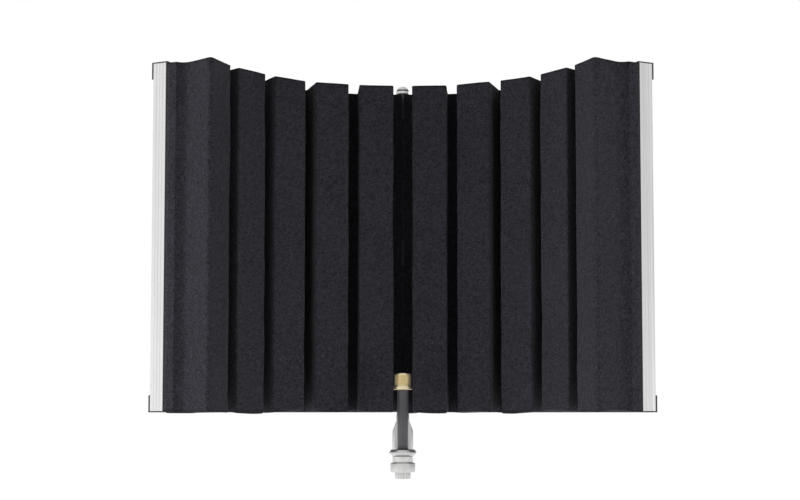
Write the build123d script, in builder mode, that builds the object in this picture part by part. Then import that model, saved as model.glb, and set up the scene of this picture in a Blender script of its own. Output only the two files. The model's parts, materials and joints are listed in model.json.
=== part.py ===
"""Folding microphone isolation shield.

Two curved wings of ribbed foam on perforated aluminium baffles hang on one upright hinge rod. The rod
stands in a foot that slides along a mount arm. The arm's eye holds a threaded socket for a microphone
stand, and a short post above the socket carries the microphone in front of the foam.

Frame: millimetres, +Z up, +X to the right and -Y towards the singer. The origin is the centre of the
stand socket's mouth. A wing is laid out by s, the arc length along its back face from the centre line,
and n, the depth in front of that face. Each wing piece is drawn as a right-hand piece and mirrored for
the left wing.
"""

import os
from math import cos, sin

from build123d import *

# Clearances
RUNNING = 0.05
FIXED = 0.02
GAP = 0.3
DRILL = 12.0  # length of a drilled hole, through whatever stands there

# Shield
SHIELD_HEIGHT = 320.0
SHIELD_BOTTOM = 55.0  # above the socket's mouth
SHIELD_TOP = SHIELD_BOTTOM + SHIELD_HEIGHT
FLAT = 10.0  # half of the flat stretch at the centre
BACK_RADIUS = 239.0
WING_LENGTH = 285.3  # s at a wing's outer end
FRAME_DEPTH = 15.0
HINGE_DEPTH = FRAME_DEPTH / 2
HINGE_Y = 105.0  # from the stand's axis to the hinge rod
BACK_Y = HINGE_Y + HINGE_DEPTH

# Frame members
SHEET = 1.4  # wall of the stiles
STILE_INNER_S = FLAT
STILE_INNER_WIDTH = 8.0
STILE_OUTER_WIDTH = 14.0
STRIP_DEPTH = 13.4  # the bright face at the wing's end
STRIP_WALL = 1.8
STRIP_GROOVES = (3.4, 6.6, 9.8)
GROOVE_WIDTH = 0.6
GROOVE_DEPTH = 0.35
RAIL_HEIGHT = 15.5
RAIL_WALL = 1.7
RAIL_FLANGE = 1.2
BAFFLE_BACK = 1.6
BAFFLE_FRONT = 2.6

RIVETS_PER_RAIL = 5
RIVET_RADIUS = 1.5
RIVET_HEAD = 3.2
RIVET_HEAD_HEIGHT = 1.4
RIVET_ROUNDING = 0.9

# Foam
FOAM_BACK = 2.8
FOAM_BASE = 24.0
FOAM_FRONT = 60.8
RIB_WIDTH = 33.2
RIB_FIRST_S = 31.0
RIB_PITCH = 58.3
RIB_COUNT = 5
RIB_ROOT = FOAM_BASE - 3.0  # where a rib's outline starts, inside the base
FLANK_END = FOAM_BASE + 1.0  # depth of the foam's slanted flank at the wing's end
FOAM_LOW = SHIELD_BOTTOM + 0.3
FOAM_HIGH = SHIELD_TOP - 1.2

# Hinge
ROD_RADIUS = 4.0
BARREL_RADIUS = 6.0
BARREL_HEIGHT = 12.0
WASHER = 1.0
PLATE_INNER_X = 8.0
PLATE_HEIGHT = 44.0
PLATE_EDGE = 2.0
PLATE_ROUNDING = 2.0
WEB_LENGTH = 4.0
WEB_THICKNESS = 5.0
SCREW_RADIUS = 1.45
SCREW_LENGTH = 4.6
SCREW_HEAD = 2.8
SCREW_HEAD_HEIGHT = 1.5
# for each hinge, above the shield's bottom: the right wing's barrel, the plate, and the plate's two screws
HINGES = {
    "bottom": (-1.0, 2.0, (30.0, 40.0)),
    "middle": (147.5, 138.0, (144.0, 176.0)),
    "top": (297.0, 274.0, (280.0, 290.0)),
}

# Stack on top of the hinge rod
STACK_Z = SHIELD_BOTTOM + HINGES["top"][0] + 2 * BARREL_HEIGHT + WASHER  # top of the uppermost barrel
CAP_RADIUS = 6.35
CAP_HEIGHT = 4.0
CAP_DOME = 2.8  # how far the dome rises above the cap's rim
BRIGHT_WASHER = 3.0
BRIGHT_WASHER_RADIUS = CAP_RADIUS + 0.4
DARK_WASHER = 1.2

# Mount
EYE_RADIUS = 11.5
ARM_WIDTH = 16.0
ARM_HEIGHT = 8.7
ARM_REACH = HINGE_Y + 27.0
SLOT_RADIUS = 3.3
SLIDE_TRAVEL = 15.0
SOCKET_RADIUS = 8.75
STAND_THREAD_RADIUS = 7.5
STAND_THREAD_LENGTH = 12.0
SOCKET_TOP = 14.4
POST_RADIUS = 5.1
POST_TOP = 76.0
POST_HOLE_Z = 26.0  # floor of the hole down the post
TIP_SHOULDER = 3.0
TIP_THREAD_RADIUS = 7.94
TIP_THREAD_LENGTH = 12.0
SPIGOT_RADIUS = 4.0
SPIGOT_LOW = 12.2
TIP_BORE = 3.9
TIP_SHANK = 14.0
TIP_RIM = 8.9
NUT_LOW = 14.5
NUT_RADIUS = 12.7
NUT_HEIGHT = 6.3

# Foot and its clamp
FOOT_SEAT_Z = SHIELD_BOTTOM + HINGES["bottom"][0] - WASHER
FOOT_WIDTH = 20.8
FOOT_DEPTH = 22.0
FOOT_BOTTOM = 2.0
FOOT_SHOULDER = 36.5
FOOT_TAPER = 5.0  # how far below the seat the taper ends
FOOT_ROUNDING = 2.5
SEAT_RADIUS = BARREL_RADIUS + 0.5
SEAT_HEIGHT = 14.0
ROD_IN_FOOT = 28.0
SOLE_Z = ARM_HEIGHT + 0.1
CHANNEL_HALF = ARM_WIDTH / 2 + 0.15
CLAMP_RADIUS = 3.0
CLAMP_LENGTH = 22.0
CLAMP_HOLE = 13.0
CLAMP_WASHER = 1.2
CLAMP_WASHER_RADIUS = 7.0
CLAMP_WASHER_Z = -0.1 - CLAMP_WASHER
KNOB_RADIUS = 8.0
KNOB_HEIGHT = 10.0
FLUTES = 18
FLUTE_RADIUS = 0.7

UP = (Align.CENTER, Align.CENTER, Align.MIN)
os.makedirs("parts", exist_ok=True)


def save(part, name):
    """Labels a finished piece and writes it."""
    part.label = name
    export_step(part, f"parts/{name}.step")


def save_pair(part, name):
    """Writes a wing's piece for the right wing and, mirrored, for the left one."""
    save(mirror(part, about=Plane.YZ), f"left_{name}")
    save(part, f"right_{name}")


def bend(s):
    """Turn of the back face at s, in radians."""
    return max(0.0, s - FLAT) / BACK_RADIUS


def at(s, n, along=0.0):
    """Point at s and depth n, moved by a length along the tangent there."""
    turn = bend(s)
    x = min(s, FLAT) + (BACK_RADIUS - n) * sin(turn) + along * cos(turn)
    y = BACK_Y - BACK_RADIUS + (BACK_RADIUS - n) * cos(turn) - along * sin(turn)
    return (x, y)


def outward(s, n, z):
    """Plane at s and depth n that looks out of the wing's back."""
    return Plane(origin=(*at(s, n), z), x_dir=(0, 0, 1), z_dir=(sin(bend(s)), cos(bend(s)), 0))


def band(s1, s2, n1, n2):
    """Outline of a strip of the wing, from s1 to s2 along it and from depth n1 to n2."""
    start = max(s1, FLAT)
    middle = (start + s2) / 2
    with BuildSketch() as strip:
        with BuildLine():
            ThreePointArc(at(start, n1), at(middle, n1), at(s2, n1))
            Line(at(s2, n1), at(s2, n2))
            ThreePointArc(at(s2, n2), at(middle, n2), at(start, n2))
            if s1 < start:
                Polyline(at(start, n2), at(s1, n2), at(s1, n1), at(start, n1))
            else:
                Line(at(start, n2), at(start, n1))
        make_face()
    return strip.sketch


# ---------------------------------------------------------------- wing frame


def rivet_planes():
    """Planes on the rails' backs, one for each of a wing's rivets, that look out of the wing."""
    first = STILE_INNER_S + STILE_INNER_WIDTH / 2
    last = WING_LENGTH - STILE_OUTER_WIDTH / 2
    places = [first + k * (last - first) / (RIVETS_PER_RAIL - 1) for k in range(RIVETS_PER_RAIL)]
    heights = (SHIELD_BOTTOM + RAIL_HEIGHT / 2, SHIELD_TOP - RAIL_HEIGHT / 2)
    return [outward(s, -RAIL_WALL, z) for z in heights for s in places]


def rivet_places():
    """Where each rivet enters the back of a rail."""
    return [Location(plane) for plane in rivet_planes()]


def make_stiles():
    """The two uprights of a wing: a black channel at the hinge and a bright one at the outer end."""
    height = SHIELD_HEIGHT - 2 * RAIL_FLANGE
    inner_end = STILE_INNER_S + STILE_INNER_WIDTH
    with BuildPart() as inner_stile:
        with BuildSketch(Plane.XY.offset(SHIELD_BOTTOM + RAIL_FLANGE)):
            add(band(STILE_INNER_S, STILE_INNER_S + STRIP_WALL, 0, FRAME_DEPTH))
            add(band(STILE_INNER_S, inner_end, 0, SHEET))
            add(band(STILE_INNER_S, inner_end, FRAME_DEPTH - SHEET, FRAME_DEPTH))
        extrude(amount=height)
        with Locations(*rivet_places()):
            Cylinder(RIVET_RADIUS + RUNNING, DRILL, mode=Mode.SUBTRACT)
        with Locations(*hinge_screw_places()):
            Cylinder(SCREW_RADIUS + RUNNING, DRILL, mode=Mode.SUBTRACT)
    save_pair(inner_stile.part, "inner_stile")

    with BuildPart() as outer_stile:
        start = WING_LENGTH - STILE_OUTER_WIDTH
        with BuildSketch(Plane.XY.offset(SHIELD_BOTTOM + RAIL_FLANGE)):
            add(band(WING_LENGTH - STRIP_WALL, WING_LENGTH, 0, STRIP_DEPTH))
            add(band(start, WING_LENGTH, 0, SHEET))
            add(band(start, WING_LENGTH, STRIP_DEPTH - SHEET, STRIP_DEPTH))
            for n in STRIP_GROOVES:
                groove = band(WING_LENGTH - GROOVE_DEPTH, WING_LENGTH + 1, n, n + GROOVE_WIDTH)
                add(groove, mode=Mode.SUBTRACT)
        extrude(amount=height)
        with Locations(*rivet_places()):
            Cylinder(RIVET_RADIUS + RUNNING, DRILL, mode=Mode.SUBTRACT)
    save_pair(outer_stile.part, "outer_stile")

    with BuildPart() as edge_trim:
        with BuildSketch(Plane.XY.offset(SHIELD_BOTTOM + RAIL_FLANGE)):
            add(band(start, WING_LENGTH, STRIP_DEPTH, FRAME_DEPTH))
        extrude(amount=height)
    save_pair(edge_trim.part, "edge_trim")


def make_rail(name, flange_z, leg_z):
    """A curved black rail that caps the frame's upper or lower edge and laps over its back."""
    with BuildPart() as rail:
        with BuildSketch(Plane.XY.offset(leg_z)):
            add(band(STILE_INNER_S, WING_LENGTH, -RAIL_WALL, 0))
            inner_end = STILE_INNER_S + STILE_INNER_WIDTH
            outer_start = WING_LENGTH - STILE_OUTER_WIDTH
            add(band(inner_end + GAP, outer_start - GAP, -RAIL_WALL, BAFFLE_BACK - 0.1))
        extrude(amount=RAIL_HEIGHT - RAIL_FLANGE)
        with BuildSketch(Plane.XY.offset(flange_z)):
            add(band(STILE_INNER_S, WING_LENGTH, -RAIL_WALL, FRAME_DEPTH))
        extrude(amount=RAIL_FLANGE)
        with Locations(*rivet_places()):
            Cylinder(RIVET_RADIUS + RUNNING, DRILL, mode=Mode.SUBTRACT)
    save_pair(rail.part, name)


def make_baffle():
    """The perforated back sheet, plain here."""
    with BuildPart() as baffle:
        with BuildSketch(Plane.XY.offset(SHIELD_BOTTOM + RAIL_FLANGE)):
            start = STILE_INNER_S + STRIP_WALL + 0.2
            add(band(start, WING_LENGTH - STRIP_WALL - 0.2, BAFFLE_BACK, BAFFLE_FRONT))
        extrude(amount=SHIELD_HEIGHT - 2 * RAIL_FLANGE)
        with Locations(*rivet_places()):
            Cylinder(RIVET_RADIUS + RUNNING, DRILL, mode=Mode.SUBTRACT)
    save_pair(baffle.part, "baffle")


def make_rivets():
    """Ten domed rivets that hold one wing's rails, stiles and baffle together."""
    with BuildPart() as rivets:
        with Locations(*rivet_places()):
            Cylinder(RIVET_HEAD, RIVET_HEAD_HEIGHT, align=UP)
        fillet(rivets.edges().filter_by(GeomType.CIRCLE).filter_by(is_outer_ring), RIVET_ROUNDING)
        with Locations(*rivet_places()):
            Cylinder(RIVET_RADIUS, BAFFLE_FRONT + RAIL_WALL, align=(Align.CENTER, Align.CENTER, Align.MAX))
    save_pair(rivets.part, "rail_rivets")


def is_outer_ring(edge):
    """True for a rivet head's ring on the side away from the wing."""
    centre = edge.arc_center
    return any(
        abs((centre - plane.origin).dot(plane.z_dir) - RIVET_HEAD_HEIGHT) < 0.01
        and (centre - plane.origin).length < 2 * RIVET_HEAD_HEIGHT
        for plane in rivet_planes()
    )


# ---------------------------------------------------------------- foam


def rib(s):
    """Outline of one foam rib, a block square to the back face at s."""
    half = RIB_WIDTH / 2
    with BuildSketch() as block:
        with BuildLine():
            Polyline(
                at(s, RIB_ROOT, -half), at(s, FOAM_FRONT, -half), at(s, FOAM_FRONT, half),
                at(s, RIB_ROOT, half), close=True,
            )
        make_face()
    return block.sketch


def end_flank():
    """Outline of the foam between the last rib and the wing's end, up to the last rib's outer corner."""
    last = RIB_FIRST_S + (RIB_COUNT - 1) * RIB_PITCH
    with BuildSketch() as flank:
        with BuildLine():
            Polyline(
                at(last, RIB_ROOT), at(last, FOAM_FRONT - 10), at(last, FOAM_FRONT, RIB_WIDTH / 2),
                at(WING_LENGTH, FLANK_END), at(WING_LENGTH, RIB_ROOT), close=True,
            )
        make_face()
    return flank.sketch


def make_foam():
    """The ribbed foam of a wing, one piece."""
    inner_end = STILE_INNER_S + STILE_INNER_WIDTH
    outer_start = WING_LENGTH - STILE_OUTER_WIDTH
    with BuildPart() as foam:
        with BuildSketch(Plane.XY.offset(SHIELD_BOTTOM + RAIL_FLANGE + 0.1)):
            add(band(inner_end + GAP, outer_start - GAP, FOAM_BACK, FRAME_DEPTH + 1))
        extrude(amount=SHIELD_HEIGHT - 2 * RAIL_FLANGE - 0.2)
        with BuildSketch(Plane.XY.offset(FOAM_LOW)):
            add(band(1.0, WING_LENGTH, FRAME_DEPTH + 0.1, FOAM_BASE))
            for k in range(RIB_COUNT):
                add(rib(RIB_FIRST_S + k * RIB_PITCH))
            add(end_flank())
        extrude(amount=FOAM_HIGH - FOAM_LOW)
    save_pair(foam.part, "foam")


# ---------------------------------------------------------------- hinge


def hinge_screw_places():
    """Where a wing's hinge screws enter its inner stile, each looking towards the hinge rod."""
    places = []
    for _, _, screws_z in HINGES.values():
        for z in screws_z:
            plane = Plane(
                origin=(PLATE_INNER_X, HINGE_Y, SHIELD_BOTTOM + z), x_dir=(0, 0, 1), z_dir=(-1, 0, 0)
            )
            places.append(Location(plane))
    return places


def hinge_leaf(barrel_z, plate_z):
    """A right-hand hinge leaf: a barrel round the rod, a web and a plate on the inner stile."""
    web_low = max(barrel_z, plate_z)
    web_high = min(barrel_z + BARREL_HEIGHT, plate_z + PLATE_HEIGHT)
    plate_width = STILE_INNER_S - PLATE_INNER_X
    with BuildPart() as leaf:
        with Locations((0, HINGE_Y, SHIELD_BOTTOM + barrel_z)):
            Cylinder(BARREL_RADIUS, BARREL_HEIGHT, align=UP)
        with Locations((PLATE_INNER_X, HINGE_Y, SHIELD_BOTTOM + web_low)):
            Box(
                WEB_LENGTH, WEB_THICKNESS, web_high - web_low,
                align=(Align.MAX, Align.CENTER, Align.MIN),
            )
        with Locations((PLATE_INNER_X, HINGE_Y, SHIELD_BOTTOM + plate_z)):
            Box(
                plate_width, FRAME_DEPTH - 2 * PLATE_EDGE, PLATE_HEIGHT,
                align=(Align.MIN, Align.CENTER, Align.MIN),
            )
        corners = leaf.edges().filter_by(Axis.X).filter_by(lambda edge: abs(edge.length - plate_width) < 0.01)
        fillet(corners, PLATE_ROUNDING)
        with Locations((0, HINGE_Y, SHIELD_BOTTOM + barrel_z)):
            Cylinder(ROD_RADIUS + RUNNING, BARREL_HEIGHT, align=UP, mode=Mode.SUBTRACT)
        with Locations(*hinge_screw_places()):
            Cylinder(SCREW_RADIUS + RUNNING, DRILL, mode=Mode.SUBTRACT)
    return leaf.part


def make_hinges():
    """Three leaves a wing. The left wing's barrels sit on the right wing's, with a washer between."""
    for name, (barrel_z, plate_z, _) in HINGES.items():
        save(hinge_leaf(barrel_z, plate_z), f"right_hinge_{name}")
        upper = barrel_z + BARREL_HEIGHT + WASHER
        save(mirror(hinge_leaf(upper, plate_z), about=Plane.YZ), f"left_hinge_{name}")

    with BuildPart() as screws:
        with Locations(*hinge_screw_places()):
            Cylinder(SCREW_HEAD, SCREW_HEAD_HEIGHT, align=UP)
            Cylinder(SCREW_RADIUS, SCREW_LENGTH, align=(Align.CENTER, Align.CENTER, Align.MAX))
    save_pair(screws.part, "hinge_screws")

    with BuildPart() as washers:
        lower_faces = [HINGES["bottom"][0] - WASHER]
        lower_faces += [barrel_z + BARREL_HEIGHT for barrel_z, _, _ in HINGES.values()]
        with Locations(*[(0, HINGE_Y, SHIELD_BOTTOM + z) for z in lower_faces]):
            Cylinder(BARREL_RADIUS, WASHER, align=UP)
            Cylinder(ROD_RADIUS + FIXED, WASHER, align=UP, mode=Mode.SUBTRACT)
    save(washers.part, "hinge_washers")


def make_rod():
    """The hinge rod with its top stack: a bright washer, a dark friction washer and a domed nut."""
    rod_low = FOOT_SEAT_Z - ROD_IN_FOOT
    rod_high = STACK_Z + BRIGHT_WASHER + DARK_WASHER + CAP_HEIGHT / 2
    with BuildPart() as hinge_rod:
        with Locations((0, HINGE_Y, rod_low)):
            Cylinder(ROD_RADIUS, rod_high - rod_low, align=UP)
        chamfer(hinge_rod.faces().sort_by(Axis.Z)[-1].edges(), 0.6)
    save(hinge_rod.part, "hinge_rod")

    with BuildPart() as rod_top_washer:
        with Locations((0, HINGE_Y, STACK_Z)):
            Cylinder(BRIGHT_WASHER_RADIUS, BRIGHT_WASHER, align=UP)
        fillet(rod_top_washer.edges().filter_by(GeomType.CIRCLE), 0.5)
        with Locations((0, HINGE_Y, STACK_Z)):
            Cylinder(ROD_RADIUS + FIXED, BRIGHT_WASHER, align=UP, mode=Mode.SUBTRACT)
    save(rod_top_washer.part, "rod_top_washer")

    with BuildPart() as friction_washer:
        with Locations((0, HINGE_Y, STACK_Z + BRIGHT_WASHER)):
            Cylinder(CAP_RADIUS, DARK_WASHER, align=UP)
            Cylinder(ROD_RADIUS + FIXED, DARK_WASHER, align=UP, mode=Mode.SUBTRACT)
    save(friction_washer.part, "rod_friction_washer")

    cap_z = STACK_Z + BRIGHT_WASHER + DARK_WASHER
    dome_radius = (CAP_RADIUS**2 + CAP_DOME**2) / (2 * CAP_DOME)
    with BuildPart() as cap_nut:
        with Locations((0, HINGE_Y, cap_z)):
            Cylinder(CAP_RADIUS, CAP_HEIGHT, align=UP)
        with Locations((0, HINGE_Y, cap_z + CAP_HEIGHT - dome_radius)):
            Sphere(dome_radius, mode=Mode.INTERSECT)
        with Locations((0, HINGE_Y, cap_z)):
            Cylinder(ROD_RADIUS + FIXED, CAP_HEIGHT / 2 + 0.1, align=UP, mode=Mode.SUBTRACT)
    save(cap_nut.part, "rod_cap_nut")


# ---------------------------------------------------------------- mount


def make_foot():
    """The foot: a saddle that straddles the arm, tapered up to a round seat for the rod."""
    half = FOOT_WIDTH / 2
    taper_z = FOOT_SEAT_Z - FOOT_TAPER
    with BuildPart() as foot:
        with BuildSketch(Plane.XZ.offset(-HINGE_Y)):
            with BuildLine():
                Polyline(
                    (-half, FOOT_BOTTOM), (-half, FOOT_SHOULDER), (-BARREL_RADIUS, taper_z),
                    (BARREL_RADIUS, taper_z), (half, FOOT_SHOULDER), (half, FOOT_BOTTOM),
                    (CHANNEL_HALF, FOOT_BOTTOM), (CHANNEL_HALF, SOLE_Z), (-CHANNEL_HALF, SOLE_Z),
                    (-CHANNEL_HALF, FOOT_BOTTOM), close=True,
                )
            make_face()
        extrude(amount=FOOT_DEPTH / 2, both=True)
        fillet(foot.edges().filter_by(Axis.Z).group_by(SortBy.LENGTH)[-1], FOOT_ROUNDING)
        with Locations((0, HINGE_Y, FOOT_SEAT_Z - SEAT_HEIGHT)):
            Cylinder(SEAT_RADIUS, SEAT_HEIGHT, align=UP)
        with Locations((0, HINGE_Y, FOOT_SEAT_Z - ROD_IN_FOOT)):
            Cylinder(ROD_RADIUS + FIXED, ROD_IN_FOOT, align=UP, mode=Mode.SUBTRACT)
        with Locations((0, HINGE_Y, SOLE_Z)):
            Cylinder(CLAMP_RADIUS + RUNNING, CLAMP_HOLE, align=UP, mode=Mode.SUBTRACT)
    save(foot.part, "hinge_foot")


def make_clamp_screw():
    """The fluted thumb screw under the arm, and its washer."""
    with BuildPart() as clamp_washer:
        with Locations((0, HINGE_Y, CLAMP_WASHER_Z)):
            Cylinder(CLAMP_WASHER_RADIUS, CLAMP_WASHER, align=UP)
            Cylinder(CLAMP_RADIUS + FIXED, CLAMP_WASHER, align=UP, mode=Mode.SUBTRACT)
    save(clamp_washer.part, "clamp_washer")

    with BuildPart() as clamp_screw:
        with Locations((0, HINGE_Y, CLAMP_WASHER_Z - KNOB_HEIGHT)):
            Cylinder(KNOB_RADIUS, KNOB_HEIGHT, align=UP)
        chamfer(clamp_screw.edges().filter_by(GeomType.CIRCLE), 0.8)
        with Locations((0, HINGE_Y, CLAMP_WASHER_Z)):
            Cylinder(CLAMP_RADIUS, CLAMP_LENGTH, align=UP)
        with Locations((0, HINGE_Y, CLAMP_WASHER_Z - KNOB_HEIGHT / 2)):
            with PolarLocations(KNOB_RADIUS + 0.2, FLUTES):
                Cylinder(FLUTE_RADIUS, KNOB_HEIGHT + 2, mode=Mode.SUBTRACT)
    save(clamp_screw.part, "clamp_screw")


def make_arm():
    """The mount arm: an eye round the stand socket and a slotted bar back to the foot."""
    with BuildPart() as arm:
        with BuildSketch():
            Circle(EYE_RADIUS)
            with Locations((0, ARM_REACH / 2)):
                Rectangle(ARM_WIDTH, ARM_REACH)
        extrude(amount=ARM_HEIGHT)
        fillet(arm.edges().filter_by(Axis.Z).sort_by(Axis.Y)[-2:], 6)
        chamfer(arm.faces().filter_by(Axis.Z).edges(), 0.6)
        with BuildSketch():
            Circle(SOCKET_RADIUS + FIXED)
            with Locations((0, HINGE_Y)):
                SlotCenterToCenter(2 * SLIDE_TRAVEL + 1, 2 * SLOT_RADIUS, rotation=90)
        extrude(amount=ARM_HEIGHT, mode=Mode.SUBTRACT)
    save(arm.part, "mount_arm")


def turned(points):
    """A turned piece: the outline through points of (radius, height), spun about the stand's axis."""
    with BuildPart() as piece:
        with BuildSketch(Plane.XZ):
            with BuildLine():
                Polyline(*points, close=True)
            make_face()
        revolve(axis=Axis.Z)
    return piece.part


def make_stand_pieces():
    """What stands on the arm's eye: the stand socket, the lock nut, the post and its threaded tip."""
    spigot_hole = SPIGOT_RADIUS + FIXED
    socket = turned([
        (STAND_THREAD_RADIUS, 0), (SOCKET_RADIUS, 0), (SOCKET_RADIUS, ARM_HEIGHT),
        (SOCKET_RADIUS + 0.7, SOCKET_TOP), (spigot_hole, SOCKET_TOP), (spigot_hole, STAND_THREAD_LENGTH),
        (STAND_THREAD_RADIUS, STAND_THREAD_LENGTH),
    ])
    save(socket, "stand_socket")

    nut_bore = POST_RADIUS + FIXED
    nut_top = NUT_LOW + NUT_HEIGHT
    nut = turned([
        (nut_bore, NUT_LOW), (NUT_RADIUS - 3.1, NUT_LOW), (NUT_RADIUS, NUT_LOW + 2.9),
        (NUT_RADIUS, NUT_LOW + 3.8), (NUT_RADIUS - 1, nut_top - 0.6), (NUT_RADIUS - 1.8, nut_top),
        (nut_bore, nut_top),
    ])
    save(nut, "post_lock_nut")

    post = turned([
        (0, SPIGOT_LOW), (SPIGOT_RADIUS, SPIGOT_LOW), (SPIGOT_RADIUS, NUT_LOW), (POST_RADIUS, NUT_LOW),
        (POST_RADIUS, POST_TOP), (TIP_BORE, POST_TOP), (TIP_BORE, POST_HOLE_Z), (0, POST_HOLE_Z),
    ])
    save(post, "mic_post")

    shank = TIP_BORE - FIXED
    thread_low = POST_TOP + TIP_SHOULDER
    thread_high = thread_low + TIP_THREAD_LENGTH
    tip = turned([
        (0, POST_TOP - TIP_SHANK), (shank, POST_TOP - TIP_SHANK), (shank, POST_TOP), (TIP_RIM, POST_TOP),
        (TIP_RIM, thread_low), (TIP_THREAD_RADIUS, thread_low), (TIP_THREAD_RADIUS, thread_high - 1),
        (TIP_THREAD_RADIUS - 1, thread_high), (0, thread_high),
    ])
    save(tip, "post_tip")


make_stiles()
make_rail("top_rail", SHIELD_TOP - RAIL_FLANGE, SHIELD_TOP - RAIL_HEIGHT)
make_rail("bottom_rail", SHIELD_BOTTOM, SHIELD_BOTTOM + RAIL_FLANGE)
make_baffle()
make_rivets()
make_foam()
make_hinges()
make_rod()
make_foot()
make_clamp_screw()
make_arm()
make_stand_pieces()
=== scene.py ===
"""Looks of the folding microphone isolation shield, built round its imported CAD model.

Everything is in metres and in the CAD's frame: +Z up, +X to the right and -Y towards the singer. A wing is
laid out by s, the arc length along its back face from the centre line, and n, the depth in front of that
face. Each wing piece is made as a right-hand mesh and mirrored for the left wing.
"""

import json
import math

import bmesh
import bpy
from mathutils import Matrix, Vector, noise

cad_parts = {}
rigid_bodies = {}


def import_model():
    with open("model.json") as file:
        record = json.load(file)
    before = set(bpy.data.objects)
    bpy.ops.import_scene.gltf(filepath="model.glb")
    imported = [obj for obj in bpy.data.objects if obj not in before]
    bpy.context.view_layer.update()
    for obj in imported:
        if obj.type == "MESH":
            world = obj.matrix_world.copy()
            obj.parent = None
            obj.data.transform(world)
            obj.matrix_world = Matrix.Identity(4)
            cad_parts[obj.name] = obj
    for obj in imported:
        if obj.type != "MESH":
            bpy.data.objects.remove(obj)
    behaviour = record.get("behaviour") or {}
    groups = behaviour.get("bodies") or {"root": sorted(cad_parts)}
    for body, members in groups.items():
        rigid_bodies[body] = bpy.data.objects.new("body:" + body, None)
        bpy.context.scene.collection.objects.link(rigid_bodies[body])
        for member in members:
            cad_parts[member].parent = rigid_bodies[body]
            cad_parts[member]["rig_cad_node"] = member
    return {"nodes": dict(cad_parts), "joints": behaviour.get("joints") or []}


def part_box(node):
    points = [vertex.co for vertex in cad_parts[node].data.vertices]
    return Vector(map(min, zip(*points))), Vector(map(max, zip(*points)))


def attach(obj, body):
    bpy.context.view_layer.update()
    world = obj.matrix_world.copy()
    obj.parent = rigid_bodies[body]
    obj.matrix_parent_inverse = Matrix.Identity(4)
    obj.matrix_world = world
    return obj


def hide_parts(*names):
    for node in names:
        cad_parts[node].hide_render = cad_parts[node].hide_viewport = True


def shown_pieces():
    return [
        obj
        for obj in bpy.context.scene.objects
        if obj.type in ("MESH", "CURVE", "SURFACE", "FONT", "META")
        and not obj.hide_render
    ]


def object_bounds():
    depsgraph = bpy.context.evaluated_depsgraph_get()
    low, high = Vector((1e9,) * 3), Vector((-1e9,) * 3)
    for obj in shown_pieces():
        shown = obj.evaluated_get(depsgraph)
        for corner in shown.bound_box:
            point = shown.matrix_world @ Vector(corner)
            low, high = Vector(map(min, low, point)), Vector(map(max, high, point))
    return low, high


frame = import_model()
CAD_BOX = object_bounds()

# ---------------------------------------------------------------- driving dimensions

MM = 0.001
SIDES = {"left": -1, "right": 1}
FLAT = 10 * MM  # half of the flat stretch at the centre
BACK_RADIUS = 239 * MM
FRAME_DEPTH = 15 * MM
FOAM_BASE = 24 * MM
FOAM_FRONT = 60.8 * MM
RIB_WIDTH = 33.2 * MM
RIB_FIRST_S = 31 * MM
RIB_PITCH = 58.3 * MM
RIB_COUNT = 5
STILE_INNER_END = 18 * MM
STILE_OUTER_WIDTH = 14 * MM
WING_LENGTH = 285.3 * MM
BAFFLE_BACK = 1.6 * MM
BAFFLE_FRONT = 2.6 * MM

HINGE = Vector(next(j["pos_m"] for j in frame["joints"] if j["name"] == "right_wing_hinge"))
BACK_Y = HINGE.y + FRAME_DEPTH / 2
RAIL_LOW, RAIL_HIGH = (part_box("right_bottom_rail")[0].z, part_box("right_top_rail")[1].z)
FOAM_LOW, FOAM_HIGH = (corner.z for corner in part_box("right_foam"))


def at(s, n, along=0.0):
    """Point of the right wing at s and depth n, moved by a length along the tangent there."""
    turn = max(0.0, s - FLAT) / BACK_RADIUS
    x = min(s, FLAT) + (BACK_RADIUS - n) * math.sin(turn) + along * math.cos(turn)
    y = BACK_Y - BACK_RADIUS + (BACK_RADIUS - n) * math.cos(turn) - along * math.sin(turn)
    return Vector((x, y))


# ---------------------------------------------------------------- camera

PICTURE_WIDTH, PICTURE_HEIGHT = 800, 500
SENSOR = 36.0
LENS = 60.4
DISTANCE = 1355 * MM  # from the back face's centre
PITCH = math.radians(3.4)
CENTRE_LINE = 402.8 / PICTURE_WIDTH - 0.5  # where the shield's centre line stands, from the picture's middle
HORIZON = 0.5 * PICTURE_HEIGHT / PICTURE_WIDTH - 412.4 / PICTURE_WIDTH  # where the shield's lower edge stands


def make_camera():
    """Looks at the foam from just under the shield, tipped up a little."""
    data = bpy.data.cameras.new("camera")
    data.sensor_width = SENSOR
    data.lens = LENS
    data.shift_x = -CENTRE_LINE
    data.shift_y = -HORIZON - math.tan(PITCH) * LENS / SENSOR
    data.clip_start, data.clip_end = 0.05, 100
    camera = bpy.data.objects.new("camera", data)
    bpy.context.scene.collection.objects.link(camera)
    camera.location = (0, BACK_Y - DISTANCE, RAIL_LOW)
    camera.rotation_euler = (math.pi / 2 + PITCH, 0, 0)
    bpy.context.scene.camera = camera


make_camera()

# ---------------------------------------------------------------- material tools


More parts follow.
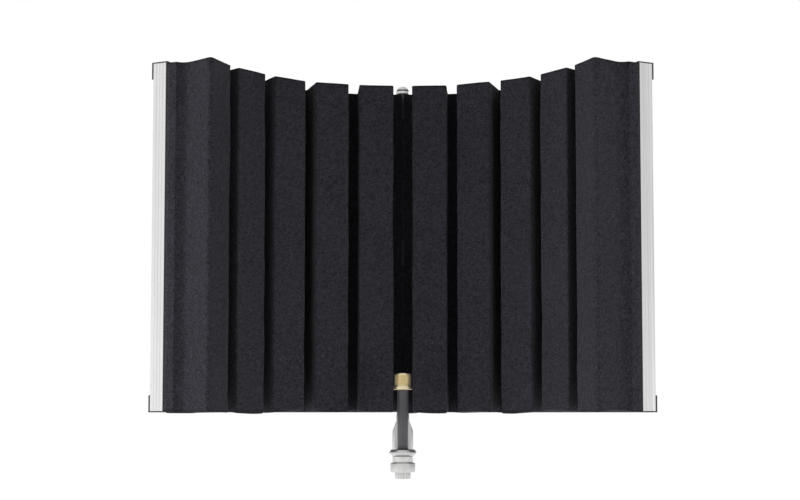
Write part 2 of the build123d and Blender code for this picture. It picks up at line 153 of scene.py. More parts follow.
class Shader:
    """A new material with one Principled shader, and short calls that add the nodes which feed it."""

    def __init__(self, name, **constants):
        self.material = bpy.data.materials.new(name)
        self.material.use_nodes = True
        self.tree = self.material.node_tree
        self.surface = self.tree.nodes["Principled BSDF"]
        self.place = self.tree.nodes.new("ShaderNodeTexCoord").outputs["Object"]
        for socket, value in constants.items():
            self.surface.inputs[socket.replace("_", " ")].default_value = value

    def node(self, kind, inputs=None, **settings):
        """A node of that kind, its settings made and its inputs linked or set."""
        node = self.tree.nodes.new(kind)
        for name, value in settings.items():
            setattr(node, name, value)
        for key, value in (inputs or {}).items():
            if isinstance(value, bpy.types.NodeSocket):
                self.tree.links.new(value, node.inputs[key])
            else:
                node.inputs[key].default_value = value
        return node

    def stretched(self, *scale):
        """The piece's own coordinates, scaled on each axis, for grain that runs one way."""
        return self.node("ShaderNodeMapping", {"Vector": self.place, "Scale": scale}).outputs["Vector"]

    def noise(self, scale, detail=3.0, rough=0.55, vector=None):
        node = self.node(
            "ShaderNodeTexNoise",
            {"Vector": vector or self.place, "Scale": scale, "Detail": detail, "Roughness": rough},
        )
        return node.outputs["Fac"]

    def cells(self, scale):
        return self.node("ShaderNodeTexVoronoi", {"Vector": self.place, "Scale": scale}).outputs["Distance"]

    def range(self, value, low, high, to_low, to_high):
        """value taken from one range to another, kept within it."""
        node = self.node(
            "ShaderNodeMapRange",
            {"Value": value, "From Min": low, "From Max": high, "To Min": to_low, "To Max": to_high},
        )
        return node.outputs["Result"]

    def math(self, operation, a, b):
        return self.node("ShaderNodeMath", {0: a, 1: b}, operation=operation).outputs["Value"]

    def blend(self, factor, first, second):
        """A colour between two, each an (r, g, b) or a socket."""
        node = self.node("ShaderNodeMix", data_type="RGBA")
        for socket, value in (("Factor_Float", factor), ("A_Color", first), ("B_Color", second)):
            target = next(i for i in node.inputs if i.identifier == socket)
            if isinstance(value, bpy.types.NodeSocket):
                self.tree.links.new(value, target)
            else:
                target.default_value = value if isinstance(value, float) else (*value, 1)
        return next(o for o in node.outputs if o.identifier == "Result_Color")

    def edges(self, width):
        """1 on an edge's bevelled corner and 0 on a flat, from the bent normal of a small bevel."""
        bevel = self.node("ShaderNodeBevel", {"Radius": width}, samples=4).outputs["Normal"]
        flat = self.node("ShaderNodeNewGeometry").outputs["Normal"]
        dot = self.node("ShaderNodeVectorMath", {0: bevel, 1: flat}, operation="DOT_PRODUCT").outputs["Value"]
        return self.range(dot, 0.995, 0.85, 0.0, 1.0)

    def bump(self, height, strength, distance):
        inputs = {"Height": height, "Strength": strength, "Distance": distance}
        return self.node("ShaderNodeBump", inputs).outputs["Normal"]

    def finish(self, **sockets):
        """Links each socket to the shader's input of that name and gives the material."""
        for name, socket in sockets.items():
            self.tree.links.new(socket, self.surface.inputs[name.replace("_", " ")])
        return self.material


# ---------------------------------------------------------------- materials


def foam_material():
    """Charcoal open-cell foam: pores painted dark as shade, flecks, soft mottling, and painted shade along
    the top and bottom cuts.
    """
    m = Shader(
        "open_cell_foam", Roughness=0.97, Specular_IOR_Level=0.08, Sheen_Weight=0.05, Sheen_Roughness=0.5
    )

    def grey(tone):
        return (tone, tone * 0.99, tone * 1.26)

    grain = m.noise(640.0, 3.0, 0.7)
    mottle = m.noise(230.0, 3.0, 0.6)
    body = m.blend(m.range(grain, 0.34, 0.66, 0.0, 1.0), grey(0.0150), grey(0.0330))
    body = m.blend(m.range(mottle, 0.34, 0.52, 0.40, 0.0), body, grey(0.0110))
    body = m.blend(m.range(mottle, 0.52, 0.70, 0.0, 0.30), body, grey(0.0460))
    body = m.blend(m.range(m.noise(14.0, 2.0, 0.5), 0.35, 0.65, 0.0, 0.20), body, grey(0.0330))
    body = m.blend(m.range(m.cells(430.0), 0.08, 0.22, 0.60, 0.0), body, grey(0.0950))
    # pores: painted shade, the open cells darkened nearly to black; the bump also sinks them
    pits = m.cells(720.0)
    body = m.blend(m.range(pits, 0.55, 0.80, 0.0, 0.55), body, grey(0.0050))
    # painted shade: the foam is darkened within about 3 mm of its top and bottom cuts
    height = m.node("ShaderNodeSeparateXYZ", {0: m.place}).outputs["Z"]
    from_end = m.math("MINIMUM", m.math("SUBTRACT", FOAM_HIGH, height), m.math("SUBTRACT", height, FOAM_LOW))
    body = m.blend(m.range(from_end, 1.2 * MM, 2.8 * MM, 0.40, 0.0), body, grey(0.0045))
    relief = m.math("ADD", m.math("MULTIPLY", grain, 0.8), m.math("MULTIPLY", mottle, 1.1))
    relief = m.math("SUBTRACT", relief, m.math("MULTIPLY", pits, 0.5))
    return m.finish(Base_Color=body, Normal=m.bump(relief, 1.0, 1.2 * MM))


def metal_material(name, colour, rough, grain_scale, grain_depth, grain=0.08, edge_tone=None, metallic=1.0):
    """Metal whose fine lines run along the axis where grain_scale is small, with smudges in its gloss, and a
    painted highlight on its bevelled edges when an edge colour is given.
    """
    m = Shader(name, Metallic=metallic)
    lines = m.noise(1.0, 5.0, 0.7, m.stretched(*grain_scale))
    smudge = m.noise(28.0, 4.0, 0.6)
    spots = m.noise(260.0, 3.0, 0.6)
    dark = tuple(c * (1 - 1.6 * grain) for c in colour)
    light = tuple(min(1.0, c * (1 + 0.6 * grain)) for c in colour)
    body = m.blend(m.range(lines, 0.3, 0.7, 0.0, 1.0), dark, light)
    body = m.blend(m.range(spots, 0.62, 0.75, 0.0, 0.25), body, tuple(c * 0.72 for c in colour))
    # painted highlight: the bevelled edges are lightened towards the given edge colour
    if edge_tone:
        body = m.blend(m.math("MULTIPLY", m.edges(0.5 * MM), 0.55), body, edge_tone)
    smudged = m.range(smudge, 0.3, 0.7, rough * 0.8, rough * 1.2)
    gloss = m.math("ADD", smudged, m.range(lines, 0.3, 0.7, 0.0, 0.07))
    return m.finish(Base_Color=body, Roughness=gloss, Normal=m.bump(lines, 0.5, grain_depth))


def paint_material(name, colour, rough, edge_tone):
    """Powder-coated metal: an orange-peel skin, lighter dusty patches, scuffs and rubbed corners."""
    m = Shader(name, Specular_IOR_Level=0.45, Coat_Weight=0.12, Coat_Roughness=0.35)
    peel = m.noise(900.0, 2.0, 0.5)
    patches = m.noise(24.0, 4.0, 0.6)
    scuffs = m.noise(1.0, 4.0, 0.75, m.stretched(90, 90, 420))
    body = m.blend(m.range(patches, 0.3, 0.7, 0.0, 1.0), colour, tuple(c * 1.7 + 0.004 for c in colour))
    body = m.blend(m.range(scuffs, 0.70, 0.78, 0.0, 0.30), body, (0.12, 0.12, 0.12))
    rubbed = m.math("MULTIPLY", m.edges(0.35 * MM), m.range(m.noise(130.0, 3.0, 0.6), 0.45, 0.62, 0.0, 0.8))
    body = m.blend(rubbed, body, edge_tone)
    gloss = m.range(patches, 0.3, 0.7, rough * 0.85, rough * 1.2)
    return m.finish(Base_Color=body, Roughness=gloss, Normal=m.bump(peel, 0.35, 0.12 * MM))


def plastic_material(name, colour, rough):
    """Moulded black plastic or rubber with a fine matte skin."""
    m = Shader(name, Specular_IOR_Level=0.4)
    skin = m.noise(1500.0, 3.0, 0.6)
    patches = m.noise(45.0, 3.0, 0.6)
    body = m.blend(m.range(patches, 0.3, 0.7, 0.0, 1.0), colour, tuple(c * 1.6 + 0.003 for c in colour))
    return m.finish(
        Base_Color=body,
        Roughness=m.range(patches, 0.3, 0.7, rough * 0.9, rough * 1.1),
        Normal=m.bump(skin, 0.4, 0.08 * MM),
    )


FOAM = foam_material()
STRIP = metal_material("extruded_aluminium", (0.80, 0.80, 0.80), 0.36, (900, 900, 5), 0.05 * MM, 0.05)
SHEET = metal_material("perforated_aluminium", (0.66, 0.67, 0.68), 0.34, (34, 34, 1300), 0.04 * MM, 0.10)
# nickel with a painted highlight: its bevelled edges are lightened to 0.8
NICKEL_EDGE_HIGHLIGHT = {"edge_tone": (0.8, 0.8, 0.8), "metallic": 0.85}
BRUSHED = metal_material(
    "brushed_nickel", (0.58, 0.58, 0.575), 0.30, (1300, 40, 1300), 0.04 * MM, 0.12, **NICKEL_EDGE_HIGHLIGHT
)
TURNED = metal_material(
    "turned_nickel", (0.54, 0.54, 0.535), 0.24, (40, 40, 2600), 0.03 * MM, 0.10, **NICKEL_EDGE_HIGHLIGHT
)
CHROME = metal_material("polished_nickel", (0.62, 0.615, 0.605), 0.12, (60, 60, 60), 0.01 * MM, 0.04)
STEEL = metal_material("black_oxide_steel", (0.030, 0.030, 0.033), 0.30, (50, 50, 3000), 0.03 * MM, 0.10)
# the last colour is a painted highlight for the brass's bevelled edges
BRASS = metal_material(
    "plated_brass", (0.74, 0.64, 0.42), 0.25, (50, 50, 2600), 0.02 * MM, 0.08, (0.9, 0.8, 0.55)
)
BLACK = paint_material("black_powder_coat", (0.012, 0.012, 0.013), 0.42, (0.30, 0.30, 0.31))
POST = paint_material("black_post_coat", (0.030, 0.030, 0.034), 0.33, (0.35, 0.35, 0.36))
RUBBER = plastic_material("black_rubber", (0.008, 0.008, 0.009), 0.72)
NYLON = plastic_material("black_nylon", (0.018, 0.018, 0.019), 0.45)

NODE_MATERIALS = {
    "outer_stile": STRIP, "inner_stile": BLACK, "edge_trim": RUBBER, "top_rail": BLACK, "bottom_rail": BLACK,
    "rail_rivets": BLACK, "hinge_bottom": BLACK, "hinge_middle": BLACK, "hinge_top": BLACK,
    "mount_arm": BRUSHED, "mic_post": POST, "hinge_foot": BRUSHED, "hinge_rod": STEEL, "hinge_washers": NYLON,
    "rod_top_washer": CHROME, "rod_friction_washer": NYLON, "rod_cap_nut": CHROME, "clamp_washer": CHROME,
    "clamp_screw": TURNED,
}  # fmt: skip


def dress_cad_nodes():
    """Gives each carried-over CAD node its material and slightly rounded corners."""
    for name, node in frame["nodes"].items():
        material = NODE_MATERIALS.get(name.removeprefix("left_").removeprefix("right_"))
        if material is None:
            continue
        node.data.materials.clear()
        node.data.materials.append(material)
        weld = node.modifiers.new("weld", "WELD")
        weld.merge_threshold = 0.002 * MM
        bevel = node.modifiers.new("soft_corners", "BEVEL")
        bevel.width = 0.22 * MM
        bevel.segments = 2
        bevel.limit_method = "ANGLE"
        bevel.angle_limit = math.radians(40)
        bevel.harden_normals = True


dress_cad_nodes()

# ---------------------------------------------------------------- mesh tools


def piece(name, verts, faces, material, body, stands_for, side="right"):
    """Makes one smooth-shaded piece, mirrored for the left wing, ties it to its body and hides the CAD nodes
    it stands for.
    """
    sign = SIDES[side]
    mesh = bpy.data.meshes.new(name)
    points = [(sign * x, y, z) for x, y, z in verts]
    mesh.from_pydata(points, [], [f[::-1] if sign < 0 else f for f in faces])
    mesh.materials.append(material)
    mesh.shade_smooth()
    thing = bpy.data.objects.new(name, mesh)
    bpy.context.scene.collection.objects.link(thing)
    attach(thing, body)
    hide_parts(*stands_for)
    return thing


def loft(rings, ring_shaped=False):
    """Vertices and faces of a skin through rings of equally many points.

    Its ends are flat caps, or the last ring joins the first one when the piece is ring-shaped.
    """
    count = len(rings[0])
    verts = [p for ring in rings for p in ring]
    faces = []
    for r in range(len(rings) - 1):
        for k in range(count):
            a, b = r * count + k, r * count + (k + 1) % count
            faces.append((a, b, b + count, a + count))
    last = (len(rings) - 1) * count
    if ring_shaped:
        faces += [(last + k, last + (k + 1) % count, (k + 1) % count, k) for k in range(count)]
    else:
        faces.append(tuple(range(count))[::-1])
        faces.append(tuple(last + k for k in range(count)))
    return verts, faces


def lathe(profile, radius_at, segments):
    """Rings round the Z axis through (radius, z) points. radius_at may change a radius by its angle."""
    rings = []
    for radius, z in profile:
        ring = []
        for k in range(segments):
            angle = 2 * math.pi * k / segments
            r = radius_at(radius, z, angle)
            ring.append((r * math.cos(angle), r * math.sin(angle), z))
        rings.append(ring)
    return rings


# ---------------------------------------------------------------- foam

FOAM_CLEARANCE = 0.1 * MM  # in front of the frame
BAFFLE_CLEARANCE = 0.2 * MM
RIB_EDGE = 1.7 * MM
RIB_ROOT = 1.6 * MM
OUTLINE_SPACING = 2.6 * MM
FOAM_ROW = 2.9 * MM  # height of a row of faces
CUT_ROUNDING = 1.1 * MM  # at the top and bottom cuts
CUT_WANDER = 0.6 * MM
LOW_CUT_WANDER = 2.4 * MM  # the lower cut is less even than the upper one
LOW_CUT_REACH = 40 * MM
FOAM_SEEDS = {"left": 3.1, "right": 7.7}


def rounded(corners, spacing):
    """A closed outline through (point, radius) corners, each rounded, with points about a spacing apart."""
    outline = []
    count = len(corners)
    for k, (corner, radius) in enumerate(corners):
        before = (corners[k - 1][0] - corner).normalized()
        after = (corners[(k + 1) % count][0] - corner).normalized()
        half = before.angle(after) / 2
        if radius == 0 or half > math.radians(86):
            outline.append(corner)
            continue
        cut = radius / math.tan(half)
        centre = corner + (before + after).normalized() * (radius / math.sin(half))
        first, last = corner + before * cut - centre, corner + after * cut - centre
        steps = max(2, round((math.pi - 2 * half) / math.radians(18)))
        swing = first.angle_signed(last)
        for i in range(steps + 1):
            turn = Matrix.Rotation(-swing * i / steps, 2)
            outline.append(centre + turn @ first)
    filled = []
    for k, point in enumerate(outline):
        following = outline[(k + 1) % len(outline)]
        gap = (following - point).length
        pieces = max(1, round(gap / spacing))
        filled += [point.lerp(following, i / pieces) for i in range(pieces)]
    return filled


def arc(s1, s2, n, steps):
    """Points along the wing at one depth, from s1 to s2."""
    return [at(s1 + (s2 - s1) * i / steps, n) for i in range(steps + 1)]


def foam_outline():
    """The foam's section, seen from above, from the inner end along the ribs to the outer end and back."""
    half = RIB_WIDTH / 2
    back = FRAME_DEPTH + FOAM_CLEARANCE
    corners = [(at(1 * MM, back), 0), (at(1 * MM, FOAM_BASE), RIB_EDGE)]
    for k in range(RIB_COUNT):
        s = RIB_FIRST_S + k * RIB_PITCH
        low = FOAM_BASE + (half**2) / (2 * BACK_RADIUS)
        corners += [(at(s, low, -half), RIB_ROOT), (at(s, FOAM_FRONT, -half), RIB_EDGE)]
        if k < RIB_COUNT - 1:
            corners += [(at(s, FOAM_FRONT, half), RIB_EDGE), (at(s, low, half), RIB_ROOT)]
            corners += [(at(s + RIB_PITCH / 2, FOAM_BASE), 0)]
    # the last rib slopes down to the wing's end instead of dropping to the base
    crest = at(s, FOAM_FRONT + 2.6 * MM, half + 0.3 * MM)
    end = at(WING_LENGTH, FOAM_BASE + 0.5 * MM)
    valley = at(WING_LENGTH - 7 * MM, FOAM_BASE + 6 * MM)
    shoulder = crest.lerp(valley, 0.55) + (crest - end).normalized() * 1.2 * MM
    corners += [(crest, 3.6 * MM), (shoulder, 14 * MM), (valley, 9 * MM), (end, 1.4 * MM)]
    corners += [(at(WING_LENGTH, back), 0)]
    step_out = WING_LENGTH - STILE_OUTER_WIDTH - 0.4 * MM
    step_in = STILE_INNER_END + 0.4 * MM
    corners += [(at(step_out, back), 0)]
    corners += [(p, 0) for p in arc(step_out, step_in, BAFFLE_FRONT + BAFFLE_CLEARANCE, 60)]
    corners += [(at(step_in, back), 0)]
    return rounded(corners, OUTLINE_SPACING)


def anticlockwise(outline):
    """The outline, turned round if it runs clockwise."""
    area = sum(a.x * b.y - b.x * a.y for a, b in zip(outline, outline[1:] + outline[:1]))
    return outline if area > 0 else outline[::-1]


def outward_normals(outline):
    """Unit normals that point out of a closed anticlockwise outline."""
    normals = []
    for before, after in zip(outline[-1:] + outline[:-1], outline[1:] + outline[:1]):
        along = after - before
        normals.append(Vector((along.y, -along.x)).normalized())
    return normals


def foam_mesh(side):
    """Nearly straight ribs with wandering edges, softened at the top and bottom cuts."""
    outline = anticlockwise(foam_outline())
    normals = outward_normals(outline)
    height = FOAM_HIGH - FOAM_LOW
    straight = height - 2 * CUT_ROUNDING
    turns = (0, 0.5, 1.05, math.pi / 2)
    levels = [(CUT_ROUNDING * (1 - math.cos(t)), CUT_ROUNDING * (1 - math.sin(t))) for t in turns]
    middle = round(straight / FOAM_ROW)
    rows = levels + [(CUT_ROUNDING + straight * i / middle, 0) for i in range(1, middle)]
    rows += [(height - z, inset) for z, inset in levels[::-1]]
    seed = Vector((0, 0, FOAM_SEEDS[side]))
    rings = []
    for z, inset in rows:
        ring = []
        for point, normal in zip(outline, normals):
            place = Vector((point.x, point.y, z))
            wander = 0.0 if inside_frame(point) else 1.0
            wave = noise.noise(place * 22 + seed) * 0.75 * MM + noise.noise(place * 75 + seed) * 0.30 * MM
            pit = noise.noise(place * 330 + seed) * 0.16 * MM
            shift = normal * ((wave + pit) * wander - inset)
            uneven = noise.noise(place * 26 + seed * 2) * wander
            lift = uneven * (CUT_WANDER + LOW_CUT_WANDER * max(0.0, 1 - z / LOW_CUT_REACH))
            ring.append((point.x + shift.x, point.y + shift.y, FOAM_LOW + z + lift))
        rings.append(ring)
    return loft(rings)


def inside_frame(point):
    """True for a point of the foam between the frame's uprights, where it has to stay straight."""
    centre = Vector((FLAT, BACK_Y - BACK_RADIUS))
    depth = BACK_RADIUS - (point - centre).length if point.x > FLAT else BACK_Y - point.y
    return depth < FRAME_DEPTH + 0.5 * MM


def make_foam():
    for side in SIDES:
        verts, faces = foam_mesh(side)
        name = f"{side}_ribbed_foam"
        foam = piece(name, verts, faces, FOAM, f"{side}_wing", [f"{side}_foam"], side)


make_foam()

# ---------------------------------------------------------------- perforated baffles

HOLE_PITCH = 9.6 * MM
HOLE_RADIUS = 2.7 * MM
SIDE_MARGIN = 3 * MM  # from a stile to the first holes
RAIL_MARGIN = 19 * MM  # from a rail's outer edge to the first holes
SHEET_TUCK = 6 * MM  # how far the sheet reaches behind the inner stile
OUTER_GAP = 2 * MM  # from the sheet's outer edge to the wing's end
RAIL_GAP = 1.2 * MM  # from the sheet's upper and lower edges to the rails' outer edges


def baffle_mesh():
    """A sheet punched with staggered round holes, laid out flat in (s, z) and bent round the wing."""
    row_height = HOLE_PITCH * math.sqrt(3) / 2
    s1, s2 = STILE_INNER_END + SIDE_MARGIN, WING_LENGTH - STILE_OUTER_WIDTH - SIDE_MARGIN
    z1, z2 = RAIL_LOW + RAIL_MARGIN, RAIL_HIGH - RAIL_MARGIN
    columns = math.floor((s2 - s1) / HOLE_PITCH - 0.5)
    row_count = math.floor((z2 - z1) / row_height)
    s0 = (s1 + s2 - (columns + 0.5) * HOLE_PITCH) / 2
    z0 = (z1 + z2 - row_count * row_height) / 2
    sheet = bmesh.new()
    found = {}

    def vertex(s, z):
        key = (round(s * 1e7), round(z * 1e7))
        if key not in found:
            found[key] = sheet.verts.new((s, 0, z))
        return found[key]

    def face(*points):
        sheet.faces.new([vertex(*p) for p in points])

    def cell(s, z, width):
        """A cell with points a quarter pitch apart on its edge, and a hole if it is a whole pitch wide."""
        steps = round(width / (HOLE_PITCH / 4))
        low = [(s + i * HOLE_PITCH / 4, z) for i in range(steps + 1)]
        right = [(s + width, z + j * row_height / 4) for j in range(1, 4)]
        high = [(p[0], z + row_height) for p in low[::-1]]
        left = [(s, z + j * row_height / 4) for j in (3, 2, 1)]
        rim = low + right + high + left
        if steps < 4:
            face(*rim)
            return
        cx, cz = s + width / 2, z + row_height / 2
        hole = []
        for p in rim:
            angle = math.atan2(p[1] - cz, p[0] - cx)
            hole.append((cx + HOLE_RADIUS * math.cos(angle), cz + HOLE_RADIUS * math.sin(angle)))
        for k in range(len(rim)):
            j = (k + 1) % len(rim)
            face(rim[k], rim[j], hole[j], hole[k])

    for r in range(row_count):
        z = z0 + r * row_height
        indent = HOLE_PITCH / 2 if r % 2 else 0.0
        if indent:
            cell(s0, z, indent)
        for c in range(columns):
            cell(s0 + indent + c * HOLE_PITCH, z, HOLE_PITCH)
        if not indent:
            cell(s0 + columns * HOLE_PITCH, z, HOLE_PITCH / 2)

    sheet_s = (STILE_INNER_END - SHEET_TUCK, WING_LENGTH - OUTER_GAP)
    sheet_z = (RAIL_LOW + RAIL_GAP, RAIL_HIGH - RAIL_GAP)
    end_s = s0 + (columns + 0.5) * HOLE_PITCH
    end_z = z0 + row_count * row_height
    across = [s0 + i * HOLE_PITCH / 4 for i in range(round((end_s - s0) / (HOLE_PITCH / 4)) + 1)]
    up = [z0 + j * row_height / 4 for j in range(row_count * 4 + 1)]
    for a, b in zip(across, across[1:]):
        face((a, sheet_z[0]), (b, sheet_z[0]), (b, z0), (a, z0))
        face((a, end_z), (b, end_z), (b, sheet_z[1]), (a, sheet_z[1]))
    levels = [sheet_z[0], *up, sheet_z[1]]
    for a, b in zip(levels, levels[1:]):
        face((sheet_s[0], a), (s0, a), (s0, b), (sheet_s[0], b))
        face((end_s, a), (sheet_s[1], a), (sheet_s[1], b), (end_s, b))
    sheet.verts.index_update()
    flat = [v.co.copy() for v in sheet.verts]
    plan = [[v.index for v in f.verts] for f in sheet.faces]
    rims = [rim_direction(e) for e in sheet.edges if e.is_boundary]
    verts = []
    for n in (BAFFLE_BACK, BAFFLE_FRONT):
        for p in flat:
            place = at(p.x, n)
            verts.append((place.x, place.y, p.z))
    count = len(flat)
    faces = [tuple(f) for f in plan] + [tuple(i + count for i in f[::-1]) for f in plan]
    faces += [(a, b, b + count, a + count) for a, b in rims]
    sheet.free()
    return verts, faces


def rim_direction(edge):
    """The vertex indices of an open edge, against the way its only face runs round it."""
    a, b = (v.index for v in edge.verts)
    order = [v.index for v in edge.link_faces[0].verts]
    return (b, a) if order[(order.index(a) + 1) % len(order)] == b else (a, b)


def make_baffles():
    for side in SIDES:
        verts, faces = baffle_mesh()
        name = f"{side}_perforated_baffle"
        sheet = piece(name, verts, faces, SHEET, f"{side}_wing", [f"{side}_baffle"], side)
        sheet.data.set_sharp_from_angle(angle=math.radians(30))


make_baffles()

# ---------------------------------------------------------------- threaded and turned pieces

SHARP_ANGLE = math.radians(35)
THREAD_PITCH = 25.4 / 27 * MM
THREAD_DEPTH = 0.55 * MM


def thread_wave(z, angle, low, high):
    """0 at a thread's root and 1 at its crest, fading out at both ends of the threaded stretch."""
    phase = (z / THREAD_PITCH - angle / (2 * math.pi)) % 1.0
    wave = min(1.0, max(0.0, 1.25 * (1 - abs(2 * phase - 1)) - 0.12))
    fade = min(1.0, (z - low) / THREAD_PITCH, (high - z) / THREAD_PITCH)
    return wave * max(0.0, fade)


def stretch(low, high, per_pitch=8):
    """Heights along a thread, evenly spaced."""
    steps = round((high - low) / THREAD_PITCH * per_pitch)
    return [low + (high - low) * i / steps for i in range(steps + 1)]


def make_post_tip():
    """The post's tip: a finely knurled shoulder below a 5/8 inch-27 male thread with a blind hole."""
    low_corner, high_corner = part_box("post_tip")
    post_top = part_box("mic_post")[1].z
    shoulder = post_top + 3 * MM
    crest = 7.94 * MM
    rim = high_corner.x
    low, high = shoulder + 0.6 * MM, high_corner.z - 0.8 * MM
    profile = [(3.8 * MM, low_corner.z), (3.8 * MM, post_top - 0.01 * MM), (rim - 0.3 * MM, post_top)]
    profile += [(rim, post_top + 0.3 * MM), (rim, shoulder - 0.3 * MM), (rim - 0.3 * MM, shoulder)]
    profile += [(crest - THREAD_DEPTH, shoulder + 0.02 * MM)]
    profile += [(crest, z) for z in stretch(low, high)]
    top = high_corner.z
    profile += [(crest - THREAD_DEPTH, high + 0.1 * MM), (crest - 1.1 * MM, top), (2.2 * MM, top)]
    profile += [(2.0 * MM, top - 0.2 * MM), (2.0 * MM, top - 9 * MM)]

    def radius_at(radius, z, angle):
        if radius == crest:
            return crest - THREAD_DEPTH * (1 - thread_wave(z, angle, low, high))
        if radius > crest:
            return radius * (1 - 0.012 * (0.5 + 0.5 * math.cos(60 * angle)))
        return radius

    verts, faces = loft(lathe(profile, radius_at, 120))
    tip = piece("threaded_tip", verts, faces, BRASS, "mount", ["post_tip"])
    tip.data.set_sharp_from_angle(angle=SHARP_ANGLE)


def make_stand_socket():
    """The stand socket with its female 5/8 inch-27 thread."""
    low_corner, high_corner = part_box("stand_socket")
    wall, flare = 8.75 * MM, high_corner.x
    arm_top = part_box("mount_arm")[1].z
    bore, floor = 7.5 * MM, 12 * MM
    low, high = low_corner.z + 0.8 * MM, floor - 1.2 * MM
    spigot_hole, top = 4.05 * MM, high_corner.z
    profile = [(spigot_hole, top), (flare - 0.2 * MM, top), (flare, top - 0.2 * MM)]
    profile += [(wall + 0.15 * MM, arm_top + 0.4 * MM), (wall, arm_top)]
    profile += [(wall, 0.3 * MM), (wall - 0.3 * MM, 0)]
    profile += [(bore + 0.5 * MM, 0.0), (bore, 0.5 * MM)]
    profile += [(bore, z) for z in stretch(low, high)]
    profile += [(bore, floor - 0.3 * MM), (bore - 0.3 * MM, floor), (spigot_hole, floor)]

    def radius_at(radius, z, angle):
        if radius == bore and low <= z <= high:
            return bore + 0.5 * MM * thread_wave(z, angle, low, high)
        return radius

    verts, faces = loft(lathe(profile[::-1], radius_at, 96), ring_shaped=True)
    socket = piece("threaded_socket", verts, faces, TURNED, "mount", ["stand_socket"])
    socket.data.set_sharp_from_angle(angle=SHARP_ANGLE)


def make_lock_nut():
    """The flared lock nut, its rim knurled for the fingers."""
    low_corner, high_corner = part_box("post_lock_nut")
    bore, rim = 5.12 * MM, high_corner.x
    z0, z1 = low_corner.z, high_corner.z
    knurl_low, knurl_high = z0 + 3.0 * MM, z0 + 3.9 * MM
    profile = [(bore, z0), (9.4 * MM, z0), (9.7 * MM, z0 + 0.2 * MM), (rim - 0.4 * MM, knurl_low - 0.3 * MM)]
    knurl_middle = (knurl_low + knurl_high) / 2
    profile += [(rim, knurl_low + 0.1 * MM), (rim, knurl_middle), (rim, knurl_high - 0.1 * MM)]
    profile += [(rim - 0.4 * MM, knurl_high + 0.4 * MM)]
    profile += [(11.6 * MM, z1 - 0.6 * MM), (11.0 * MM, z1 - 0.1 * MM)]
    profile += [(10.6 * MM, z1), (6.4 * MM, z1), (6.1 * MM, z1 - 0.3 * MM), (bore, z1 - 0.9 * MM)]

    def radius_at(radius, z, angle):
        if radius == rim:
            return rim - 0.28 * MM * (0.5 + 0.5 * math.cos(72 * angle))
        return radius

    verts, faces = loft(lathe(profile, radius_at, 288), ring_shaped=True)
    nut = piece("flared_lock_nut", verts, faces, TURNED, "post_nut", ["post_lock_nut"])
    nut.data.set_sharp_from_angle(angle=SHARP_ANGLE)


make_post_tip()
make_stand_socket()
make_lock_nut()


def screw_places():
    """The centre of each right-hand hinge screw's head, read from the CAD node's separate solids."""
    node = frame["nodes"]["right_hinge_screws"]
    heights = sorted(round(v.co.z, 4) for v in node.data.vertices)
    groups = []
    for z in heights:
        if not groups or z - groups[-1][-1] > 3 * MM:
            groups.append([z])
        groups[-1].append(z)
    return [(min(g) + max(g)) / 2 for g in groups]


def make_hinge_screws():
    """Pan-head screws with a hexagon socket, one mesh a wing."""
    low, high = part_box("right_hinge_screws")
    head_face, plate_face, tail = low.x, low.x + 1.5 * MM, high.x
    head, shank, hexagon = 2.8 * MM, 1.44 * MM, 1.25 * MM
    segments = 48

    def radius_at(radius, _, angle):
        if radius == hexagon:
            return hexagon / math.cos((angle % (math.pi / 3)) - math.pi / 6)
        if radius == shank:
            return shank
        return radius

    profile = [(hexagon, head_face + 1.0 * MM), (hexagon, head_face), (head - 0.7 * MM, head_face)]
    profile += [(head - 0.2 * MM, head_face + 0.25 * MM), (head, head_face + 0.7 * MM), (head, plate_face)]
    profile += [(shank, plate_face), (shank, tail - 0.4 * MM), (shank - 0.4 * MM, tail)]
    rings = lathe(profile, radius_at, segments)
    verts, faces = [], []
    for z in screw_places():
        part, skin = loft(rings)
        base = len(verts)
        verts += [(p[2], HINGE.y + p[1], z + p[0]) for p in part]
        faces += [tuple(i + base for i in f[::-1]) for f in skin]
    for side in SIDES:
        name = f"{side}_socket_screws"
        stands_for = [f"{side}_hinge_screws"]
        screws = piece(name, verts, faces, CHROME, f"{side}_wing", stands_for, side)
        screws.data.set_sharp_from_angle(angle=SHARP_ANGLE)


make_hinge_screws()


def face_outwards():
    """Turns every new piece's faces outwards."""
    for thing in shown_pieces():
        if "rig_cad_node" in thing:
            continue
        mesh = bmesh.new()
        mesh.from_mesh(thing.data)
        bmesh.ops.recalc_face_normals(mesh, faces=mesh.faces)
        mesh.to_mesh(thing.data)
        mesh.free()


face_outwards()

# ---------------------------------------------------------------- studio

FLOOR_DROP = 0.22  # below the part, which a stand holds up
FLOOR_SIZE = 30.0
FLOOR_GLOW = 0.97
ROOM_TONES = (0.50, 0.95)  # what metal reflects, from the dark side to the bright side
ROOM_FILL = 0.10  # the share of the room that lights matte surfaces
BRIGHT_SIDE = (-0.61, -0.61, 0.51)
MIDDLE = Vector((0, 0, (RAIL_LOW + RAIL_HIGH) / 2))
# power in watts, place, width of the square, and whether metal mirrors it
SOFTBOXES = {
    "left_softbox": (18.5, (-1.5, -0.4, 0.2), 0.6, False),
    "left_near_softbox": (1.5, (-0.5, -0.6, -0.1), 0.3, False),
    "right_softbox": (5.5, (1.3, -0.9, 0.3), 0.9, False),
    "right_near_softbox": (1.7, (0.5, -0.6, -0.1), 0.3, False),
    "back_softbox": (8.0, (0.9, 1.3, 1.1), 0.9, True),
}


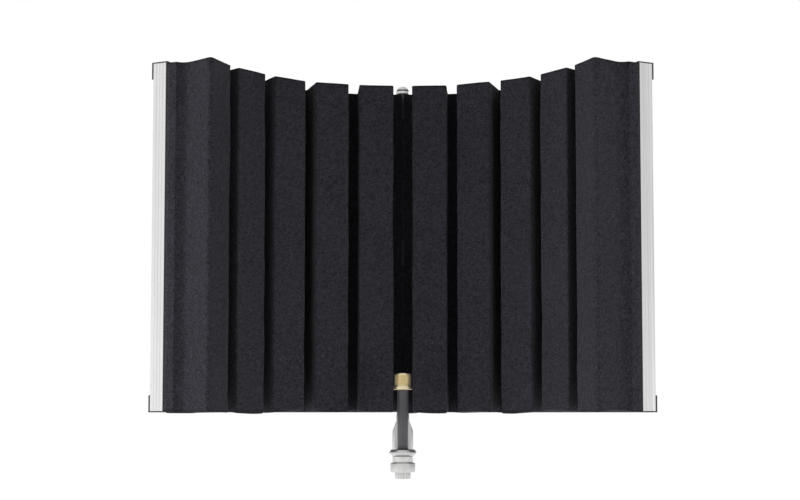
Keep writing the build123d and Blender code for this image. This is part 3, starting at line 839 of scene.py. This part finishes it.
def make_floor():
    """A wide pale floor that glows, as a strongly lit paper sweep does."""
    mesh = bpy.data.meshes.new("floor")
    height = CAD_BOX[0].z - FLOOR_DROP
    corners = [(x * FLOOR_SIZE, y * FLOOR_SIZE, height) for x, y in ((-1, -1), (1, -1), (1, 1), (-1, 1))]
    mesh.from_pydata(corners, [], [(0, 1, 2, 3)])
    m = Shader("pale_floor", Roughness=0.9, Specular_IOR_Level=0.1, Emission_Strength=FLOOR_GLOW)
    m.surface.inputs["Emission Color"].default_value = (1, 1, 1, 1)
    tone = m.blend(m.noise(3.0, 3.0, 0.6), (0.36, 0.36, 0.36), (0.40, 0.40, 0.40))
    mesh.materials.append(m.finish(Base_Color=tone))
    floor = bpy.data.objects.new("floor", mesh)
    bpy.context.scene.collection.objects.link(floor)


def make_world():
    """White paper behind the part. Metal mirrors a greyer room, which lights matte surfaces a little."""
    world = bpy.data.worlds.new("studio")
    bpy.context.scene.world = world
    world.use_nodes = True
    tree = world.node_tree

    def add(kind, inputs, **settings):
        node = tree.nodes.new(kind)
        for name, value in settings.items():
            setattr(node, name, value)
        for key, value in inputs.items():
            if isinstance(value, bpy.types.NodeSocket):
                tree.links.new(value, node.inputs[key])
            else:
                node.inputs[key].default_value = value
        return node

    direction = tree.nodes.new("ShaderNodeTexCoord").outputs["Generated"]
    towards = add("ShaderNodeVectorMath", {0: direction, 1: BRIGHT_SIDE}, operation="DOT_PRODUCT")
    ends = {"From Min": -0.9, "From Max": 0.9, "To Min": ROOM_TONES[0], "To Max": ROOM_TONES[1]}
    toward = {"Value": towards.outputs["Value"], **ends}
    room = add("ShaderNodeMapRange", toward, interpolation_type="SMOOTHSTEP").outputs["Result"]
    path = tree.nodes.new("ShaderNodeLightPath").outputs
    fill = {"Value": path["Is Diffuse Ray"], "To Min": 1.0, "To Max": ROOM_FILL}
    share = add("ShaderNodeMapRange", fill).outputs["Result"]
    dimmed = add("ShaderNodeMath", {0: room, 1: share}, operation="MULTIPLY").outputs["Value"]
    tone = add("ShaderNodeMath", {0: dimmed, 1: path["Is Camera Ray"]}, operation="MAXIMUM")
    tree.links.new(tone.outputs["Value"], tree.nodes["Background"].inputs["Strength"])
    tree.nodes["Background"].inputs["Color"].default_value = (1, 1, 1, 1)


def add_softbox(name, energy, place, size, gloss):
    """A square area light that faces the shield's middle. gloss says whether metal mirrors it."""
    data = bpy.data.lights.new(name, "AREA")
    data.energy = energy
    data.size = size
    lamp = bpy.data.objects.new(name, data)
    lamp.location = place
    lamp.rotation_euler = (MIDDLE - Vector(place)).to_track_quat("-Z", "Y").to_euler()
    lamp.visible_camera = False
    lamp.visible_glossy = gloss
    bpy.context.scene.collection.objects.link(lamp)


make_floor()
make_world()
for box_name, box_settings in SOFTBOXES.items():
    add_softbox(box_name, *box_settings)

bpy.context.scene.view_settings.view_transform = "Standard"
